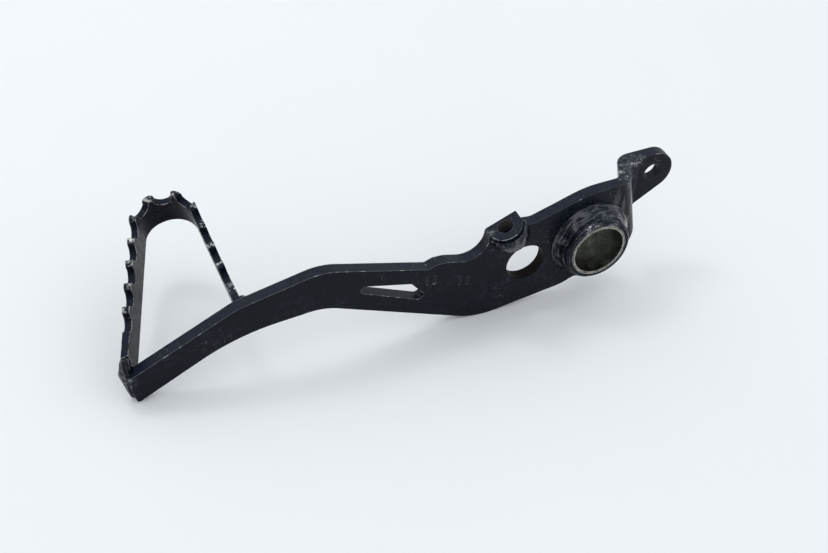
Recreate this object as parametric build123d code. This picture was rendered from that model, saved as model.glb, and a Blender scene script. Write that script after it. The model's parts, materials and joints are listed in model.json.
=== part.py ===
"""Rear brake pedal of a motorcycle: a flat steel arm that swings on a pivot tube.

A serrated toe loop is welded to the front of the arm. The rear of the arm is
joggled outboard into a lug for the brake rod's clevis. A tapped boss on the top
edge takes the height adjuster.

Frame: origin on the pivot axis, in the arm's inboard face. +X points forward to
the toe, +Y inboard along the pivot axis, +Z up. Millimetres.
"""

import os
from math import cos, radians, sin, tan

from build123d import *

os.makedirs("parts", exist_ok=True)

# Arm plate
PLATE = 5.0
HUB_R = 20.3
LUG_R = 9.3
LUG_HOLE = (-35.5, 16.1)
LUG_HOLE_R = 4.05
ROUND_HOLE = (29.2, -4.8)
ROUND_HOLE_R = 8.6
SLOT_CORNERS = [(100.2, 1.5, 1.8), (81.4, -3.2, 2.0), (76.6, -8.7, 1.9)]
STAMP_BARS = [(73.4, -1.6), (70.2, -2.2), (58.9, -6.0), (55.3, -6.8)]
STAMP_WIDTH = 1.0
STAMP_HEIGHT = 4.6
STAMP_DEPTH = 0.3

# Joggle that steps the lug outboard; its bend lines lean back towards the bottom
JOG_START = -16.5
JOG_LEAN = 12.3
JOG_STEP = 13.0
JOG_ANGLE = 67.0
JOG_INNER_R = 3.0

# Pivot
TUBE_R = 14.5
TUBE_IN = 8.5
TUBE_OUT = -12.5
TUBE_CHAMFER = 0.8
BUSH_R = 12.25
BORE_R = 11.0

# Adjuster boss
BOSS_TOP = (40.5, -1.0, 17.0)
BOSS_LEAN = 24.5
BOSS_R = 7.0
BOSS_NOSE = 0.7
BOSS_H = 7.0
TAP_R = 3.325
TAP_CHAMFER = 0.45

# Toe loop
LOOP_ROOT = (193.7, -5.3, -19.8)
LOOP_PITCH = 14.5
LOOP_RISE = 8.2
LOOP_LENGTH = 69.0
LOOP_FRONT_SET = 26.4
LOOP_WIDTH = 50.2
LOOP_FRONT_R = 12.5
LOOP_REAR_R = 14.5
STRIP = 3.1
STRIP_H = 15.0
TOOTH_PITCH = 11.0
TOOTH_COUNT = 12
FIRST_TIP = 11.1
ROOT_RUN_ON = 6.0
ROOT_TRIM = 2.7
TIP_R = 2.0
GULLET_DEPTH = 4.7

# Weld beads: the boss's as a section about its axis, the loop's two as points with radii
HUB_BEAD_FOOT = 3.3
HUB_BEAD_RISE = 6.0
BEAD_MIDDLE = 0.42
BEAD_END_GAP = 0.2
BOSS_SKIRT = [(7.8, -2.0), (7.3, -7.4), (0.5, -11.4)]
TOE_BEAD = [(195.6, -5.6, -11.0, 1.2), (195.3, -4.9, -16.0, 2.4), (193.0, -3.6, -26.2, 1.6)]
REAR_BEAD = [(147.9, -6.4, 4.4, 2.7), (145.8, -5.6, -4.6, 1.9)]

FAR = 60.0


def arm_profile():
    """Side outline of the arm, from the toe over the top to the lug and back underneath."""
    corners = [
        (192.5, -28.1, 1.0),
        (195.7, -15.4, 1.5),
        (152.0, 7.6, 20.0),
        (117.6, 16.0, 25.0),
        (73.2, 4.1, 1.0),
        (69.8, 5.6, 2.0),
        (65.0, 5.5, 6.0),
        (47.3, 1.1, 9.6),
        (47.2, 13.7, 0.0),
        (34.0, 15.9, 0.0),
        (27.0, 15.2, 6.0),
        (2.5, 23.9, 40.0),
        (-69.2, 27.2, LUG_R),
        (-28.5, 0.7, 8.0),
        (-14.8, -13.9, 0.0),
        (4.3, -19.8, 0.0),
        (10.4, -22.5, 20.0),
        (49.9, -29.2, 32.0),
        (117.1, -2.3, 24.0),
        (152.4, -5.9, 80.0),
    ]
    edge = FilletPolyline(
        [(x, z) for x, z, _ in corners],
        radius=[r for _, _, r in corners],
        close=True,
    )
    return make_face(edge) + Circle(HUB_R)


def arm_plan():
    """Plan of the plate seen from above: flat, with the joggle towards the lug."""
    half = JOG_ANGLE / 2
    outer_r = JOG_INNER_R + PLATE
    first = JOG_START - outer_r * tan(radians(half))
    second = first - JOG_STEP / tan(radians(JOG_ANGLE))
    lean = PLATE * tan(radians(half))
    toe = LOOP_ROOT[0] + FAR
    edge = FilletPolyline(
        (toe, 0),
        (first, 0),
        (second, -JOG_STEP),
        (-FAR, -JOG_STEP),
        (-FAR, -JOG_STEP - PLATE),
        (second + lean, -JOG_STEP - PLATE),
        (first + lean, -PLATE),
        (toe, -PLATE),
        radius=[0, outer_r, JOG_INNER_R, 0, 0, outer_r, JOG_INNER_R, 0],
        close=True,
    )
    return make_face(edge)


def leaning(shape):
    """Tips a shape about the pivot axis to the slope of the joggle's bend lines."""
    return Pos(JOG_START, 0, 0) * Rot(0, JOG_LEAN, 0) * Pos(-JOG_START, 0, 0) * shape


def slot_profile():
    """Wedge-shaped lightening slot with round corners, narrow end forward."""
    corners = [Pos(x, z) * Circle(r) for x, z, r in SLOT_CORNERS]
    return make_hull([corner.edge() for corner in corners])


def boss_plane():
    """Plane of the boss's top face, its normal along the adjuster."""
    lean = radians(BOSS_LEAN)
    return Plane(BOSS_TOP, x_dir=(cos(lean), 0, -sin(lean)), z_dir=(sin(lean), 0, cos(lean)))


def boss_blank():
    """D-shaped block whose flat back lies in the plate's outboard face."""
    back = PLATE + BOSS_TOP[1] + BOSS_NOSE
    round_end = Circle(BOSS_R) + Pos(0, -BOSS_R / 2) * Rectangle(2 * BOSS_R, BOSS_R)
    keep = Pos(0, (BOSS_R - back) / 2) * Rectangle(2 * BOSS_R, BOSS_R + back)
    return boss_plane() * Pos(0, BOSS_NOSE, 0) * extrude(round_end & keep, -BOSS_H)


def tapped_hole():
    """Cutter for the adjuster's hole, with a countersunk mouth."""
    section = Polyline(
        (0, 0),
        (TAP_R + TAP_CHAMFER, 0),
        (TAP_R, -TAP_CHAMFER),
        (TAP_R, -BOSS_H),
        (0, -BOSS_H),
        close=True,
    )
    return boss_plane() * revolve(Plane.XZ * make_face(section), Axis.Z)


def loop_plane():
    """Plane of the toe loop's lower edge, x forward and z up."""
    pitch = radians(LOOP_PITCH)
    rise = radians(LOOP_RISE)
    normal = (sin(pitch) * cos(rise), sin(rise), cos(pitch) * cos(rise))
    return Plane(LOOP_ROOT, x_dir=(cos(pitch), 0, -sin(pitch)), z_dir=normal)


def loop_path(inset):
    """Line of the strip, inset from its outer face, from the front root round to the rear root."""
    slant = LOOP_FRONT_SET / LOOP_LENGTH
    return FilletPolyline(
        (ROOT_RUN_ON * slant - inset, ROOT_RUN_ON),
        (-LOOP_FRONT_SET - inset * (1 - slant), -LOOP_LENGTH + inset),
        (-LOOP_WIDTH + inset, -LOOP_LENGTH + inset),
        (-LOOP_WIDTH + inset, ROOT_RUN_ON),
        radius=[LOOP_FRONT_R - inset, LOOP_REAR_R - inset],
    )


def gullet_section():
    """Outline cut away between two round tooth tips, drawn along the strip and up from the tips."""
    half = TOOTH_PITCH / 2
    reach = (half**2 + GULLET_DEPTH**2) / (2 * GULLET_DEPTH)
    side = TIP_R * half / reach
    drop = TIP_R * (GULLET_DEPTH - reach) / reach - TIP_R
    edge = [
        TangentArc((-half, 0), (side - half, drop), tangent=(1, 0)),
        ThreePointArc((side - half, drop), (0, -GULLET_DEPTH), (half - side, drop)),
        TangentArc((half, 0), (half - side, drop), tangent=(-1, 0)),
        Polyline((half, 0), (half, STRIP), (-half, STRIP), (-half, 0)),
    ]
    return make_face(edge)


def gullet(path, distance):
    """Cutter through the strip, square to it, at a distance along its middle line."""
    place = path.position_at(distance, position_mode=PositionMode.LENGTH)
    along = path.tangent_at(distance, position_mode=PositionMode.LENGTH)
    across = Vector(along.Y, -along.X, 0)
    plane = Plane(place + Vector(0, 0, STRIP_H), x_dir=along, z_dir=across)
    return plane * extrude(gullet_section(), 2 * STRIP, both=True)


def toe_loop():
    """Bent strip with teeth along its upper edge, lower at the front root, cut off at the arm's face."""
    outer = loop_path(0)
    inner = loop_path(STRIP)
    ends = [Line(outer @ 0, inner @ 0), Line(outer @ 1, inner @ 1)]
    strip = extrude(make_face([outer, inner] + ends), STRIP_H)
    middle = loop_path(STRIP / 2)
    for k in range(TOOTH_COUNT):
        strip -= gullet(middle, ROOT_RUN_ON + FIRST_TIP + TOOTH_PITCH * (k + 0.5))
    root_top = Box(LOOP_WIDTH, 2 * FAR, 2 * FAR)
    strip -= Pos(0, FAR - FIRST_TIP - 2 * TIP_R, FAR + STRIP_H - ROOT_TRIM) * root_top
    inboard = Pos(LOOP_ROOT[0], -PLATE + FAR / 2, 0) * Box(4 * FAR, FAR, 4 * FAR)
    return loop_plane() * strip - inboard


def along_y(radius, y_from, y_to):
    """Solid cylinder on the pivot axis."""
    return Pos(0, (y_from + y_to) / 2, 0) * Rot(90, 0, 0) * Cylinder(radius, abs(y_to - y_from))


def across_plate(x, z, radius):
    """Cutter for a round hole square through the plate or the lug."""
    return Pos(x, 0, z) * along_y(radius, -FAR, FAR)


def arm_plate(boss):
    """Flat plate with its joggled lug and all its cut-outs."""
    side = Plane.XZ * extrude(arm_profile(), FAR, both=True)
    plate = side & leaning(extrude(arm_plan(), FAR, both=True))
    plate -= Plane.XZ * extrude(slot_profile(), FAR, both=True)
    plate -= across_plate(*ROUND_HOLE, ROUND_HOLE_R)
    plate -= across_plate(*LUG_HOLE, LUG_HOLE_R)
    for x, z in STAMP_BARS:
        plate -= Pos(x, 0, z) * Box(STAMP_WIDTH, 2 * STAMP_DEPTH, STAMP_HEIGHT)
    plate -= along_y(TUBE_R, TUBE_OUT - FAR, TUBE_IN)
    return plate - boss


def pivot_tube():
    """Tube with chamfered outer rims, bored for the bush."""
    section = Polyline(
        (BUSH_R, TUBE_OUT),
        (TUBE_R - TUBE_CHAMFER, TUBE_OUT),
        (TUBE_R, TUBE_OUT + TUBE_CHAMFER),
        (TUBE_R, TUBE_IN - TUBE_CHAMFER),
        (TUBE_R - TUBE_CHAMFER, TUBE_IN),
        (BUSH_R, TUBE_IN),
        close=True,
    )
    return revolve(make_face(section), Axis.Y)


def hub_bead(face_y, outward):
    """Hollow-faced ring weld between the tube and one face of the plate; outward is +1 or -1 along Y."""
    corner = (TUBE_R, face_y)
    foot = (TUBE_R + HUB_BEAD_FOOT, face_y)
    top = (TUBE_R, face_y + outward * HUB_BEAD_RISE)
    middle = (TUBE_R + BEAD_MIDDLE * HUB_BEAD_FOOT, face_y + outward * BEAD_MIDDLE * HUB_BEAD_RISE)
    section = make_face([Line(top, corner), Line(corner, foot), ThreePointArc(foot, middle, top)])
    return revolve(section, Axis.Y)


def boss_skirt():
    """Weld that runs from the boss's round wall down to the plate's inboard face."""
    top, belly, foot = BOSS_SKIRT
    edge = [
        ThreePointArc(top, belly, foot),
        Polyline(foot, (0, foot[1]), (0, top[1]), top),
    ]
    return boss_plane() * Pos(0, BOSS_NOSE, 0) * revolve(Plane.XZ * make_face(edge), Axis.Z)


def tapered_bead(stations):
    """Round-ended bead through points, each given as x, y, z and the bead's radius there."""
    bead = [Pos(x, y, z) * Sphere(radius) for x, y, z, radius in stations]
    for (*start, start_r), (*end, end_r) in zip(stations, stations[1:]):
        run = Vector(end) - Vector(start)
        place = Plane(start, z_dir=run) * Pos(0, 0, run.length / 2)
        bead.append(place * Cone(start_r, end_r, run.length))
    return bead[0] + bead[1:]


boss_body = boss_blank()
plate = arm_plate(boss_body)
loop = toe_loop()
bush_outer = along_y(BUSH_R, TUBE_OUT, TUBE_IN)
bore = along_y(BORE_R, TUBE_OUT, TUBE_IN)

front_weld = tapered_bead(TOE_BEAD) - plate - loop
outboard_side = Pos(0, -FAR, 0) * Box(4 * FAR, 2 * FAR, 4 * FAR)
flat_side = leaning(Pos(JOG_START + BEAD_END_GAP + FAR, 0, 0) * Box(2 * FAR, 2 * FAR, 2 * FAR))
rear_weld = tapered_bead(REAR_BEAD) - plate - loop

parts = {
    "arm_plate": plate,
    "toe_loop": loop,
    "pivot_tube": pivot_tube(),
    "pivot_bush": bush_outer - bore,
    "adjuster_boss": boss_body - tapped_hole(),
    "pivot_weld_inboard": hub_bead(0, 1),
    "pivot_weld_outboard": hub_bead(-PLATE, -1) & flat_side,
    "boss_weld": boss_skirt() - outboard_side - boss_body,
    "toe_loop_front_weld": front_weld,
    "toe_loop_rear_weld": rear_weld,
}

for name, solid in parts.items():
    solid.label = name
    export_step(solid, f"parts/{name}.step")
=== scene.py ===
"""Looks for a motorcycle's rear brake pedal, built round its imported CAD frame. Metres, +Z up."""

import json

import bmesh
import bpy
from mathutils import Matrix, Vector, noise


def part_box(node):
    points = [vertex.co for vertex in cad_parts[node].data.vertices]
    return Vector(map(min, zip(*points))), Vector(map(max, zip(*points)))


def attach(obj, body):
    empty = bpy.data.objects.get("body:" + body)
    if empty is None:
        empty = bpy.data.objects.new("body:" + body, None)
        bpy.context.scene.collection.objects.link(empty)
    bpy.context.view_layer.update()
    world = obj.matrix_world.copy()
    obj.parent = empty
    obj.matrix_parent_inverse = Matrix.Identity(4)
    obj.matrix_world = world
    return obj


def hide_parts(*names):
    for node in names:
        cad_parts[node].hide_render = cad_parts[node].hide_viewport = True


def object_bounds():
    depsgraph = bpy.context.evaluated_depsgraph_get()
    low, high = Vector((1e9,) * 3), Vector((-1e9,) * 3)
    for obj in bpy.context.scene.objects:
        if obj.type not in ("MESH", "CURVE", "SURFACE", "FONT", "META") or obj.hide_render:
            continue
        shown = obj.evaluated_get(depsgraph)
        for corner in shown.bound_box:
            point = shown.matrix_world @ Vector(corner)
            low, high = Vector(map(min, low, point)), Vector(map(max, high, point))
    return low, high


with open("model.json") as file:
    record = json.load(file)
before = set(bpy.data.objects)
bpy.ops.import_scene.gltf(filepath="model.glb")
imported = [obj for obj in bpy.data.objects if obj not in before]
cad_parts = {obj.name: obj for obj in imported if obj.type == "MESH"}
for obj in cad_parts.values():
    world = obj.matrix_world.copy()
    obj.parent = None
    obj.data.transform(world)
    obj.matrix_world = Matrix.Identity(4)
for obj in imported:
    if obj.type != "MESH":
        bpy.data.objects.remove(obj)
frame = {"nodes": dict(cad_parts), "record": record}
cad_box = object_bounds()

MM = 0.001

# Sizes and places read from the frame, whose origin is on the pivot axis
record = frame["record"]
mounts = {mount["name"]: mount for mount in record["mounts"]}
openings = {opening["name"]: opening["box_m"] for opening in record["physics"]["openings"]}
tap = mounts["adjuster_thread"]
hole_low, hole_high = openings["lightening_hole"]
tube_low, tube_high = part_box("pivot_tube")
loop_low, loop_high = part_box("toe_loop")
arm_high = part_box("arm_plate")[1]
boss_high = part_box("adjuster_boss")[1]
BORE_R = mounts["pivot_bore"]["dims"]["r_mm"] * MM
TUBE_R = (tube_high.x - tube_low.x) / 2
FACE_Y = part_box("pivot_weld_inboard")[0].y
FLOOR_Z = cad_box[0][2]

# Worn and shiny places, each a point and a radius
BEND_TOP = (-21.0 * MM, -9.0 * MM, arm_high.z - 2.5 * MM, 8.5 * MM)
BEND_SIDE = (-17.0 * MM, FACE_Y - 2.0 * MM, 8.0 * MM, 15.0 * MM)
# The upper edge near here gets a line of rubbed paint and painted highlight
ARM_FRONT = (135.0 * MM, FACE_Y, 5.0 * MM, 62.0 * MM)
TOE_CORNER = (arm_high.x - 1.0 * MM, FACE_Y, -17.0 * MM, 2.2 * MM)
BOSS_CORNER = (boss_high.x, FACE_Y - 1.0 * MM, boss_high.z - 6.5 * MM, 2.2 * MM)
RIM_TOP = (0.0, tube_high.y, TUBE_R, 8.0 * MM)

# Holes, each a point, a direction and a radius
hole_x = (hole_low[0] + hole_high[0]) / 2
hole_z = (hole_low[2] + hole_high[2]) / 2
ROUND_HOLE_R = 8.6 * MM
ROUND_HOLE = ((hole_x, FACE_Y, hole_z), (0, 1, 0), ROUND_HOLE_R)
TAPPED_HOLE = (tap["pos_m"], tap["axis"], tap["dims"]["r_mm"] * MM)

# Weld metal over the toe loop's cut end, down to the arm's top edge: places and radii in mm
toe_x = loop_high.x / MM
toe_y = loop_high.y / MM
toe_z = loop_low.z / MM
TOE_FILLER = [
    (toe_x - 1.9, toe_y - 0.4, toe_z + 9.7, 2.0),
    (toe_x - 1.6, toe_y + 0.6, toe_z + 7.3, 2.2),
    (toe_x - 1.4, toe_y + 1.4, toe_z + 5.0, 2.1),
    (toe_x - 1.0, toe_y + 1.4, toe_z + 2.5, 1.7),
]

# Camera where the photograph was taken from, with its lens and sensor in millimetres
CAMERA_PLACE = Vector((0.24838, 0.34522, 0.34234))
CAMERA_RIGHT = Vector((-0.91695, 0.39533, 0.05400))
CAMERA_BACK = Vector((0.32912, 0.67288, 0.66250))
CAMERA_LENS = 56.5
CAMERA_SENSOR = 36.0

# Surroundings
SKY = (0.95, 0.975, 1.0, 1)
SKY_STRENGTH = 0.91
KEY_PLACE = (0.364, -0.55, 1.04)
KEY_TARGET = (0.10, 0, 0)
KEY_SIZE = 0.30
KEY_POWER = 1.5
FLOOR_HALF = 3.0
FLOOR_GAP = 0.2 * MM

# Colours
BLACK = (0.0022, 0.0036, 0.0082, 1)
DUSTY = (0.012, 0.016, 0.026, 1)
# Dust and painted top light on faces that look upwards
DUST_AND_TOP_LIGHT = (0.011, 0.016, 0.028, 1)
# Rubbed paint, and the painted sheen along sharp edges and the upper-edge line
RUBBED_AND_SHEEN = (0.085, 0.095, 0.11, 1)
# Painted shade on the round hole's wall
HOLE_SHADE = (0.008, 0.006, 0.006, 1)
THREAD_STEEL = (0.080, 0.072, 0.072, 1)
BARE = (0.60, 0.60, 0.58, 1)
BUSH = (0.42, 0.41, 0.37, 1)
BUSH_STAIN = (0.11, 0.11, 0.10, 1)
GREASE = (0.012, 0.014, 0.011, 1)
BORE_WORN = (0.060, 0.063, 0.052, 1)
CARD = (0.915, 0.940, 0.955, 1)
CARD_PALER = (0.930, 0.950, 0.965, 1)

# Specular, roughness and metallic levels
PAINT_SPECULAR = 0.12
BOSS_SPECULAR = 0.09
LOOP_SPECULAR = 0.055
WELD_SPECULAR = 1.0
POLISHED_SPECULAR = 0.65
# Weak reflection that is part of the round hole's painted shade
HOLE_SHADE_SPECULAR = 0.02
CARD_SPECULAR = 0.2
CARD_ROUGHNESS = 0.75
BUSH_METALLIC = 0.85
WORN_METALLIC = 0.9
PAINT_ROUGHNESS = (0.22, 0.40)
WELD_ROUGHNESS = (0.10, 0.24)
BUSH_ROUGHNESS = (0.28, 0.50)
DULL_ROUGHNESS = 0.42
POLISHED_SMOOTHER = 0.12

# Bevels that soften the edges, and the reach of wear and painted sheen round edges, of painted shade
# and bare thread in holes, and of wear on tooth tips
BEVEL_SAMPLES = 8
SOFT_EDGE = 0.45 * MM
BUSH_SOFT_EDGE = 0.30 * MM
RIM_REACH = 0.55 * MM
LINE_REACH = 0.40 * MM
HOLE_MARGIN = 0.05 * MM
# How far the painted shade in the round hole fades out
HOLE_SHADE_FADE = 0.25 * MM
THREAD_FADE = 0.20 * MM
TIP_TOP = 0.2 * MM
TIP_DEPTH = 0.9 * MM
TIPS_START = 9.0 * MM
TIPS_FULL = 12.0 * MM

# Radii on the bush's end, where its bright ring and then the ring's dull rim start and are full
RING_STARTS = BORE_R + 0.10 * MM
RING_FULL = BORE_R + 0.25 * MM
RIM_STARTS = BORE_R + 0.45 * MM
RIM_FULL = BORE_R + 0.70 * MM

# Noise, in features per metre
CLOUDS = 45
MOTTLE = 320
SPECKLE = 1400
SHEEN_PATCHES = 170
TIP_PATCHES = 650
WELD_RIPPLE = 420
PAINT_GRAIN = 900
FINE_GRAIN = 2600
BUSH_STAINS = 260
BUSH_SPOTS = 620
BUSH_PITS = 1100
CARD_TINTS = 9

# Streaks round the pivot: how many to a radian, and how much finer they are to a metre of radius
STREAKS = 2.2
STREAKS_FINER = 900.0

# Depths of the bumps
RIPPLE_DEPTH = 0.30 * MM
GRAIN_DEPTH = 0.07 * MM
FINE_GRAIN_DEPTH = 0.02 * MM
PAINT_DEPTH = 0.05 * MM
TURNED_DEPTH = 0.03 * MM
PIT_DEPTH = 0.05 * MM

# Weld beads
MERGE_DISTANCE = 0.001 * MM
WELD_VOXEL = 0.28 * MM
SMOOTHING = 0.5
SMOOTHING_PASSES = 14
LUMPS_PER_METRE = 170
GRAINS_PER_METRE = 520
GRAIN_SHARE = 0.25

# A face of the toe loop is on its lower edge if its normal's height is below this
LOWER_FACE = -0.9


class Graph:
    """A material's node tree, with short calls for the nodes used here."""

    def __init__(self, name):
        self.material = bpy.data.materials.new(name)
        self.material.use_nodes = True
        self.nodes = self.material.node_tree.nodes
        self.links = self.material.node_tree.links
        self.shader = self.nodes["Principled BSDF"]
        self.place = self.nodes.new("ShaderNodeTexCoord").outputs["Object"]

    def put(self, value, socket):
        """Links a socket or sets a constant."""
        if isinstance(value, bpy.types.NodeSocket):
            self.links.new(value, socket)
        else:
            socket.default_value = value

    def stretched(self, scale, turn=(0, 0, 0)):
        """Object coordinates, scaled and turned."""
        node = self.nodes.new("ShaderNodeMapping")
        node.inputs["Scale"].default_value = scale
        node.inputs["Rotation"].default_value = turn
        self.links.new(self.place, node.inputs["Vector"])
        return node.outputs["Vector"]

    def noise(self, scale, detail=3.0, roughness=0.55, vector=None):
        """Noise from 0 to 1, in features per metre unless a vector is given."""
        node = self.nodes.new("ShaderNodeTexNoise")
        node.inputs["Scale"].default_value = scale
        node.inputs["Detail"].default_value = detail
        node.inputs["Roughness"].default_value = roughness
        self.links.new(vector or self.place, node.inputs["Vector"])
        return node.outputs["Fac"]

    def math(self, operation, first, second=0.0):
        """Arithmetic, kept between 0 and 1."""
        node = self.nodes.new("ShaderNodeMath")
        node.operation = operation
        node.use_clamp = True
        self.put(first, node.inputs[0])
        self.put(second, node.inputs[1])
        return node.outputs[0]

    def band(self, value, low, high, to_low=0.0, to_high=1.0):
        """Smooth step of a value from low to high."""
        node = self.nodes.new("ShaderNodeMapRange")
        node.interpolation_type = "SMOOTHSTEP"
        self.put(value, node.inputs["Value"])
        node.inputs["From Min"].default_value = low
        node.inputs["From Max"].default_value = high
        node.inputs["To Min"].default_value = to_low
        node.inputs["To Max"].default_value = to_high
        return node.outputs["Result"]

    def mix(self, factor, first, second):
        """Colour from the first to the second as the factor rises."""
        node = self.nodes.new("ShaderNodeMix")
        node.data_type = "RGBA"
        self.put(factor, node.inputs["Factor"])
        self.put(first, node.inputs["A"])
        self.put(second, node.inputs["B"])
        return node.outputs["Result"]

    def bump(self, height, distance, strength=1.0, normal=None):
        """Normal tilted by the slope of a height."""
        node = self.nodes.new("ShaderNodeBump")
        node.inputs["Strength"].default_value = strength
        node.inputs["Distance"].default_value = distance
        self.links.new(height, node.inputs["Height"])
        if normal:
            self.links.new(normal, node.inputs["Normal"])
        return node.outputs["Normal"]

    def rounded(self, radius):
        """Normal that runs round sharp edges."""
        node = self.nodes.new("ShaderNodeBevel")
        node.samples = BEVEL_SAMPLES
        node.inputs["Radius"].default_value = radius
        return node.outputs["Normal"]

    def edge(self, radius):
        """0 on flat faces, rising towards sharp edges."""
        dot = self.nodes.new("ShaderNodeVectorMath")
        dot.operation = "DOT_PRODUCT"
        geometry = self.nodes.new("ShaderNodeNewGeometry")
        self.links.new(self.rounded(radius), dot.inputs[0])
        self.links.new(geometry.outputs["Normal"], dot.inputs[1])
        return self.math("SUBTRACT", 1.0, dot.outputs["Value"])

    def up(self, low, high):
        """0 to 1 as a surface turns to face upwards."""
        split = self.nodes.new("ShaderNodeSeparateXYZ")
        geometry = self.nodes.new("ShaderNodeNewGeometry")
        self.links.new(geometry.outputs["Normal"], split.inputs[0])
        return self.band(split.outputs["Z"], low, high)

    def near(self, centre, radius, spread):
        """1 within a radius of a point, down to 0 over the spread."""
        node = self.nodes.new("ShaderNodeVectorMath")
        node.operation = "DISTANCE"
        self.links.new(self.place, node.inputs[0])
        node.inputs[1].default_value = centre
        return self.band(node.outputs["Value"], radius, radius + spread, 1.0, 0.0)

    def near_line(self, point, direction, radius, spread):
        """1 within a radius of a line, down to 0 over the spread."""
        offset = self.nodes.new("ShaderNodeVectorMath")
        offset.operation = "SUBTRACT"
        self.links.new(self.place, offset.inputs[0])
        offset.inputs[1].default_value = point
        cross = self.nodes.new("ShaderNodeVectorMath")
        cross.operation = "CROSS_PRODUCT"
        self.links.new(offset.outputs["Vector"], cross.inputs[0])
        cross.inputs[1].default_value = direction
        length = self.nodes.new("ShaderNodeVectorMath")
        length.operation = "LENGTH"
        self.links.new(cross.outputs["Vector"], length.inputs[0])
        return self.band(length.outputs["Value"], radius, radius + spread, 1.0, 0.0)

    def above(self, upward, low, high):
        """0 to 1 from a low to a high height along a direction."""
        node = self.nodes.new("ShaderNodeVectorMath")
        node.operation = "DOT_PRODUCT"
        self.links.new(self.place, node.inputs[0])
        node.inputs[1].default_value = upward
        return self.band(node.outputs["Value"], low, high)

    def upper_edge(self, radius):
        """1 on the sharp edges of upward faces, 0 elsewhere."""
        split = self.nodes.new("ShaderNodeSeparateXYZ")
        self.links.new(self.rounded(radius), split.inputs[0])
        faces_up = self.band(split.outputs["Z"], 0.15, 0.35)
        return self.math("MULTIPLY", self.band(self.edge(radius), 0.02, 0.10), faces_up)

    def blend(self, *parts):
        """The largest of several masks."""
        mask = parts[0]
        for part in parts[1:]:
            mask = self.math("MAXIMUM", mask, part)
        return mask


def scratches(g, cloud, amount):
    """Two crossing sets of fine scratches, gathered in cloudy patches."""
    fine_lines = g.noise(1.0, 2, 0.5, g.stretched((240, 240, 5200), (0.5, 0.4, 0.2)))
    cross_lines = g.noise(1.0, 2, 0.5, g.stretched((4200, 300, 260), (0.1, 0.3, 0.7)))
    lines = g.math("ADD", g.band(fine_lines, 0.68, 0.75), g.band(cross_lines, 0.69, 0.76))
    return g.math("MULTIPLY", lines, g.band(cloud, 0.45, 0.62, 0.0, amount))


# Each of the next five functions gives two masks: where the paint is rubbed or painted lighter (edge
# sheen, highlight line), and where it is gone


def scuffed_all_over(g, cloud, speckle, amount):
    """Faint rubbed specks, and scratches down to the metal."""
    rubbed = g.math("MULTIPLY", g.band(speckle, 0.60, 0.78), g.band(cloud, 0.50, 0.66, 0.0, 0.5))
    return rubbed, g.math("MULTIPLY", scratches(g, cloud, amount), 0.5)


def worn_edges(g, cloud, mottle, amount):
    """Sharp edges, lightened along most of their length by rubbed paint and a painted edge sheen,
    and chipped bare in places.
    """
    rim = g.band(g.edge(RIM_REACH), 0.03, 0.20)
    patchy = g.math("ADD", g.math("MULTIPLY", mottle, 0.6), g.math("MULTIPLY", cloud, 0.4))
    chips = g.band(patchy, 0.62 - 0.16 * amount, 0.68 - 0.16 * amount)
    # Rubbed paint and painted edge sheen along most of each sharp edge
    rubbed = g.math("MULTIPLY", rim, g.band(mottle, 0.30, 0.55, 0.35, 1.0))
    return rubbed, g.math("MULTIPLY", rim, chips)


def worn_spot(g, place, mottle, speckle):
    """Speckled spot where the paint is rubbed through."""
    *centre, radius = place
    spot = g.math("MULTIPLY", g.near(centre, radius * 0.5, radius), g.band(speckle, 0.42, 0.58))
    rubbed = g.math("MULTIPLY", spot, g.band(mottle, 0.35, 0.55))
    return rubbed, g.math("MULTIPLY", spot, g.band(mottle, 0.52, 0.66))


def worn_and_highlight_line(g, place, mottle):
    """Thin line along the upper edge near a place: rubbed paint and a painted highlight, bare in
    spots.
    """
    *centre, radius = place
    line = g.math("MULTIPLY", g.upper_edge(LINE_REACH), g.near(centre, radius, radius * 0.5))
    rubbed = g.math("MULTIPLY", line, g.band(mottle, 0.25, 0.50, 0.4, 1.0))
    return rubbed, g.math("MULTIPLY", line, g.band(mottle, 0.52, 0.64, 0.1, 0.9))


def worn_tips(g, tips, mottle):
    """Tops of the teeth, from a little outboard of the arm."""
    upward, height = tips
    tip = g.above(upward, height - TIP_DEPTH, height - TIP_TOP)
    tip = g.math("MULTIPLY", tip, g.above((0, -1, 0), TIPS_START, TIPS_FULL))
    tip = g.math("MULTIPLY", tip, g.band(g.noise(TIP_PATCHES, 3, 0.6), 0.47, 0.58))
    return tip, g.math("MULTIPLY", tip, g.band(mottle, 0.42, 0.60, 0.1, 0.9))


def polish(g, places):
    """Streaky shine near the places."""
    streaks = g.band(g.noise(1.0, 3, 0.6, g.stretched((260, 260, 45))), 0.46, 0.60)
    near = [g.near(centre, radius * 0.5, radius) for *centre, radius in places]
    return g.math("MULTIPLY", g.blend(*near), streaks)


def weld_shine(g, specular):
    """Patches and rings of shine on a weld bead."""
    patches = g.band(g.noise(SHEEN_PATCHES, 3, 0.6), 0.47, 0.64)
    rings = g.band(pivot_streaks(g), 0.48, 0.60)
    return g.band(g.blend(patches, rings), 0.0, 1.0, PAINT_SPECULAR, specular)


def paint_normal(g, worn, bead):
    """Soft edges or the weld's ripple, then the paint's grain and the step where it is worn."""
    normal = g.bump(g.noise(WELD_RIPPLE, 2), RIPPLE_DEPTH, 0.6) if bead else g.rounded(SOFT_EDGE)
    normal = g.bump(g.noise(PAINT_GRAIN, 2), GRAIN_DEPTH, 0.5, normal)
    normal = g.bump(g.noise(FINE_GRAIN, 3, 0.6), FINE_GRAIN_DEPTH, 0.6, normal)
    return g.bump(g.math("SUBTRACT", 1.0, worn), PAINT_DEPTH, 0.7, normal)


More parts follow.
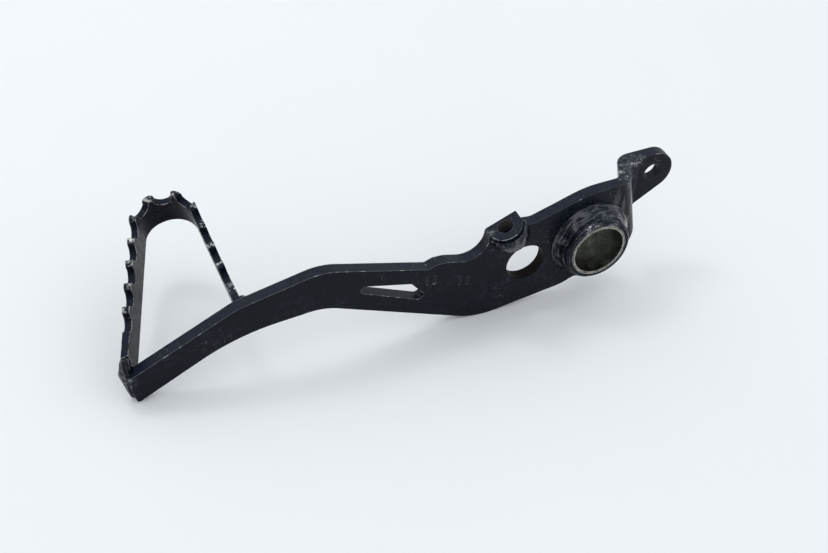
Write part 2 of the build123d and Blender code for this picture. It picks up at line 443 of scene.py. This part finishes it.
def paint(name, edge_wear=0.5, scuffs=0.5, worn_places=(), polished_places=(), rubbed_and_highlight_line=None,
          shaded_hole=None, bare_hole=None, tips=None, specular=PAINT_SPECULAR, bead=False):
    """Semi-gloss black paint on steel: dust, painted top light, rubbed edges with painted sheen,
    scratches, bare spots.

    worn_places lists the points, each with a radius, where the paint is rubbed through, and
    polished_places those where it shines. The rubbed line is the point and radius round which the
    upper edge is lightened all along, with rubbed paint and a painted highlight. A hole is a point,
    a direction and a radius: the shaded hole gets painted shade on its wall, a darker colour and a
    weaker reflection, and the bare hole the colour of its bare thread. tips is a direction and the
    height along it of worn tips. On a weld bead the paint is thicker and glossier, with no sharp
    edges.
    """
    g = Graph(name)
    cloud = g.noise(CLOUDS, 4)
    mottle = g.noise(MOTTLE, 5, 0.65)
    speckle = g.noise(SPECKLE, 3, 0.7)

    wear = [scuffed_all_over(g, cloud, speckle, scuffs)]
    if not bead:
        wear.append(worn_edges(g, cloud, mottle, edge_wear))
    for place in worn_places:
        wear.append(worn_spot(g, place, mottle, speckle))
    # Line of rubbed paint and painted highlight along the upper edge
    if rubbed_and_highlight_line:
        wear.append(worn_and_highlight_line(g, rubbed_and_highlight_line, mottle))
    if tips:
        wear.append(worn_tips(g, tips, mottle))
    rubbed = g.blend(*[masks[0] for masks in wear])
    worn = g.blend(*[masks[1] for masks in wear])

    dust = g.math("MULTIPLY", g.band(mottle, 0.42, 0.72), g.band(cloud, 0.40, 0.62, 0.15, 0.85))
    # Upward faces painted lighter: dust and painted top light
    dust_and_top_light = g.math("MULTIPLY", g.up(0.45, 0.85), g.band(mottle, 0.30, 0.62, 0.55, 1.0))
    colour = g.mix(dust_and_top_light, g.mix(dust, BLACK, DUSTY), DUST_AND_TOP_LIGHT)
    # Rubbed paint and painted sheen or highlight lighten; bare metal where the paint is gone
    colour = g.mix(worn, g.mix(rubbed, colour, RUBBED_AND_SHEEN), BARE)
    rough = g.band(mottle, 0.30, 0.75, *(WELD_ROUGHNESS if bead else PAINT_ROUGHNESS))
    rough = g.blend(rough, g.math("MULTIPLY", g.blend(rubbed, dust_and_top_light), DULL_ROUGHNESS))
    shine = weld_shine(g, specular) if bead else specular

    # Painted shade on the hole's wall: a darker colour and a weaker reflection
    if shaded_hole:
        point, direction, radius = shaded_hole
        hole_shade = g.near_line(point, direction, radius + HOLE_MARGIN, HOLE_SHADE_FADE)
        colour = g.mix(hole_shade, colour, HOLE_SHADE)
        shine = g.band(hole_shade, 0.0, 1.0, specular, HOLE_SHADE_SPECULAR)
    if bare_hole:
        point, direction, radius = bare_hole
        thread = g.near_line(point, direction, radius + HOLE_MARGIN, THREAD_FADE)
        colour = g.mix(thread, colour, THREAD_STEEL)
    if polished_places:
        polished = polish(g, polished_places)
        shine = g.blend(shine, g.math("MULTIPLY", polished, POLISHED_SPECULAR))
        rough = g.math("SUBTRACT", rough, g.math("MULTIPLY", polished, POLISHED_SMOOTHER))

    g.put(colour, g.shader.inputs["Base Color"])
    g.put(g.math("MULTIPLY", worn, WORN_METALLIC), g.shader.inputs["Metallic"])
    g.put(rough, g.shader.inputs["Roughness"])
    g.put(shine, g.shader.inputs["Specular IOR Level"])
    g.put(paint_normal(g, worn, bead), g.shader.inputs["Normal"])
    return g.material


def radius_about_pivot(g):
    """Distance from the pivot axis."""
    split = g.nodes.new("ShaderNodeSeparateXYZ")
    g.links.new(g.place, split.inputs[0])
    squares = [g.math("MULTIPLY", split.outputs[axis], split.outputs[axis]) for axis in "XZ"]
    return g.math("SQRT", g.math("ADD", *squares))


def pivot_streaks(g):
    """Noise drawn out in rings round the pivot axis."""
    split = g.nodes.new("ShaderNodeSeparateXYZ")
    g.links.new(g.place, split.inputs[0])
    angle = g.nodes.new("ShaderNodeMath")
    angle.operation = "ARCTAN2"
    g.links.new(split.outputs["Z"], angle.inputs[0])
    g.links.new(split.outputs["X"], angle.inputs[1])
    ring = g.nodes.new("ShaderNodeCombineXYZ")
    g.put(angle.outputs[0], ring.inputs["X"])
    scale = g.nodes.new("ShaderNodeMath")
    scale.operation = "MULTIPLY"
    g.put(radius_about_pivot(g), scale.inputs[0])
    scale.inputs[1].default_value = STREAKS_FINER
    g.put(scale.outputs[0], ring.inputs["Y"])
    return g.noise(STREAKS, 3, 0.6, ring.outputs["Vector"])


def bush_metal():
    """Machined steel bush: bright end ring, greasy and stained in the bore."""
    g = Graph("bush_metal")
    radius = radius_about_pivot(g)
    on_end = g.band(radius, RING_STARTS, RING_FULL)
    stain = g.noise(BUSH_STAINS, 5, 0.65)
    pits = g.noise(BUSH_PITS, 4, 0.7)
    turned = g.noise(1.0, 2, 0.5, g.stretched((120, 3200, 120)))
    bore = g.mix(g.band(stain, 0.35, 0.70), GREASE, BORE_WORN)
    dull = g.band(radius, RIM_STARTS, RIM_FULL, 0.25, 0.85)
    patchy = g.math("ADD", g.math("MULTIPLY", stain, 0.5), g.math("MULTIPLY", pits, 0.5))
    dull = g.math("MULTIPLY", dull, g.band(patchy, 0.38, 0.52))
    spots = g.band(g.noise(BUSH_SPOTS, 4, 0.7), 0.50, 0.60, 0.0, 0.95)
    end = g.mix(g.blend(dull, spots), BUSH, BUSH_STAIN)
    g.put(g.mix(on_end, bore, end), g.shader.inputs["Base Color"])
    g.shader.inputs["Metallic"].default_value = BUSH_METALLIC
    g.put(g.band(stain, 0.3, 0.7, *BUSH_ROUGHNESS), g.shader.inputs["Roughness"])
    normal = g.bump(turned, TURNED_DEPTH, 0.6, g.rounded(BUSH_SOFT_EDGE))
    g.put(g.bump(pits, PIT_DEPTH, 0.5, normal), g.shader.inputs["Normal"])
    return g.material


def floor_material():
    """Matt white card with a faint unevenness."""
    g = Graph("floor_card")
    tint = g.band(g.noise(CARD_TINTS, 3), 0.3, 0.7)
    g.put(g.mix(tint, CARD, CARD_PALER), g.shader.inputs["Base Color"])
    g.shader.inputs["Roughness"].default_value = CARD_ROUGHNESS
    g.shader.inputs["Specular IOR Level"].default_value = CARD_SPECULAR
    return g.material


def weld(name, node, material, seed, swell=0.30, lump=0.35, filler=()):
    """Weld bead grown from its CAD solid: remeshed, smoothed, swollen and made uneven.

    Swelling sinks it into the pieces it joins. swell and lump are in millimetres, and filler
    lists balls to fuse with it, each a place and a radius in millimetres.
    """
    build = bmesh.new()
    build.from_mesh(frame["nodes"][node].data)
    bmesh.ops.remove_doubles(build, verts=build.verts, dist=MERGE_DISTANCE)
    for *centre, radius in filler:
        place = Matrix.Translation(Vector(centre) * MM)
        bmesh.ops.create_icosphere(build, subdivisions=3, radius=radius * MM, matrix=place)
    rough = bpy.data.meshes.new(name + "_rough")
    build.to_mesh(rough)
    build.free()
    piece = bpy.data.objects.new(name, rough)
    bpy.context.scene.collection.objects.link(piece)
    remesh = piece.modifiers.new("remesh", "REMESH")
    remesh.mode = "VOXEL"
    remesh.voxel_size = WELD_VOXEL
    smooth = piece.modifiers.new("smooth", "SMOOTH")
    smooth.factor = SMOOTHING
    smooth.iterations = SMOOTHING_PASSES
    ready = piece.evaluated_get(bpy.context.evaluated_depsgraph_get())
    mesh = bpy.data.meshes.new_from_object(ready)
    piece.modifiers.clear()
    piece.data = mesh
    normals = [vertex.normal.copy() for vertex in mesh.vertices]
    for vertex, normal in zip(mesh.vertices, normals):
        wave = noise.noise(vertex.co * LUMPS_PER_METRE + Vector((seed, 0, 0)))
        grain = noise.noise(vertex.co * GRAINS_PER_METRE + Vector((0, seed, 0)))
        vertex.co += normal * (swell + lump * wave + GRAIN_SHARE * lump * grain) * MM
    mesh.name = name
    mesh.shade_smooth()
    mesh.materials.clear()
    mesh.materials.append(material)
    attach(piece, "root")
    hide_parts(node)


def loop_upward():
    """Direction square to the toe loop's flat lower edge, pointing up."""
    down = Vector()
    for face in frame["nodes"]["toe_loop"].data.polygons:
        if face.normal.z < LOWER_FACE:
            down += face.normal * face.area
    return -down.normalized()


def dress_nodes(looks):
    """Gives each CAD node that stays its material."""
    for node, material in looks.items():
        obj = frame["nodes"][node]
        for slot in obj.material_slots:
            slot.material = material


def floor():
    """Plain card under the part."""
    mesh = bpy.data.meshes.new("floor")
    half = FLOOR_HALF
    z = FLOOR_Z - FLOOR_GAP
    corners = [(-half, -half, z), (half, -half, z), (half, half, z), (-half, half, z)]
    mesh.from_pydata(corners, [], [(0, 1, 2, 3)])
    mesh.materials.append(floor_material())
    obj = bpy.data.objects.new("floor", mesh)
    bpy.context.scene.collection.objects.link(obj)


def area_light(name, place, target, size, power):
    """Square softbox that faces a target."""
    data = bpy.data.lights.new(name, "AREA")
    data.shape = "SQUARE"
    data.size = size
    data.energy = power
    obj = bpy.data.objects.new(name, data)
    obj.location = place
    obj.rotation_euler = (Vector(target) - Vector(place)).to_track_quat("-Z", "Y").to_euler()
    bpy.context.scene.collection.objects.link(obj)


def studio():
    """Even pale surroundings and one softbox above and behind the part."""
    world = bpy.data.worlds.new("studio")
    world.use_nodes = True
    background = world.node_tree.nodes["Background"]
    background.inputs["Color"].default_value = SKY
    background.inputs["Strength"].default_value = SKY_STRENGTH
    bpy.context.scene.world = world
    area_light("key", KEY_PLACE, KEY_TARGET, KEY_SIZE, KEY_POWER)
    bpy.context.scene.view_settings.view_transform = "Standard"


def camera():
    """Camera where the photograph was taken from."""
    data = bpy.data.cameras.new("camera")
    data.sensor_width = CAMERA_SENSOR
    data.lens = CAMERA_LENS
    obj = bpy.data.objects.new("camera", data)
    back = CAMERA_BACK.normalized()
    right = (CAMERA_RIGHT - back * CAMERA_RIGHT.dot(back)).normalized()
    up = back.cross(right)
    turn = Matrix((right, up, back)).transposed().to_4x4()
    obj.matrix_world = Matrix.Translation(CAMERA_PLACE) @ turn
    bpy.context.scene.collection.objects.link(obj)
    bpy.context.scene.camera = obj


loop_up = loop_upward()
loop_tips = (loop_up, max(loop_up.dot(v.co) for v in frame["nodes"]["toe_loop"].data.vertices))
dress_nodes({
    "arm_plate": paint(
        "arm_black_paint",
        scuffs=0.8,
        worn_places=[BEND_TOP, TOE_CORNER],
        polished_places=[BEND_SIDE],
        rubbed_and_highlight_line=ARM_FRONT,
        shaded_hole=ROUND_HOLE,
    ),
    "toe_loop": paint(
        "loop_black_paint",
        edge_wear=0.9,
        scuffs=0.6,
        tips=loop_tips,
        specular=LOOP_SPECULAR,
    ),
    "pivot_tube": paint("tube_black_paint", edge_wear=1.1, scuffs=0.8, worn_places=[RIM_TOP]),
    "pivot_bush": bush_metal(),
    "adjuster_boss": paint(
        "boss_black_paint",
        edge_wear=0.6,
        worn_places=[BOSS_CORNER],
        bare_hole=TAPPED_HOLE,
        specular=BOSS_SPECULAR,
    ),
})
weld_paint = paint("weld_black_paint", scuffs=0.3, specular=WELD_SPECULAR, bead=True)
weld("hub_bead_inboard", "pivot_weld_inboard", weld_paint, seed=1.0, lump=0.60)
weld("hub_bead_outboard", "pivot_weld_outboard", weld_paint, seed=2.0, lump=0.60)
weld("boss_bead", "boss_weld", weld_paint, seed=3.0)
weld("toe_bead", "toe_loop_front_weld", weld_paint, seed=4.0, swell=0.2, lump=0.2, filler=TOE_FILLER)
weld("rear_root_bead", "toe_loop_rear_weld", weld_paint, seed=5.0, swell=0.2, lump=0.2)
floor()
studio()
camera()
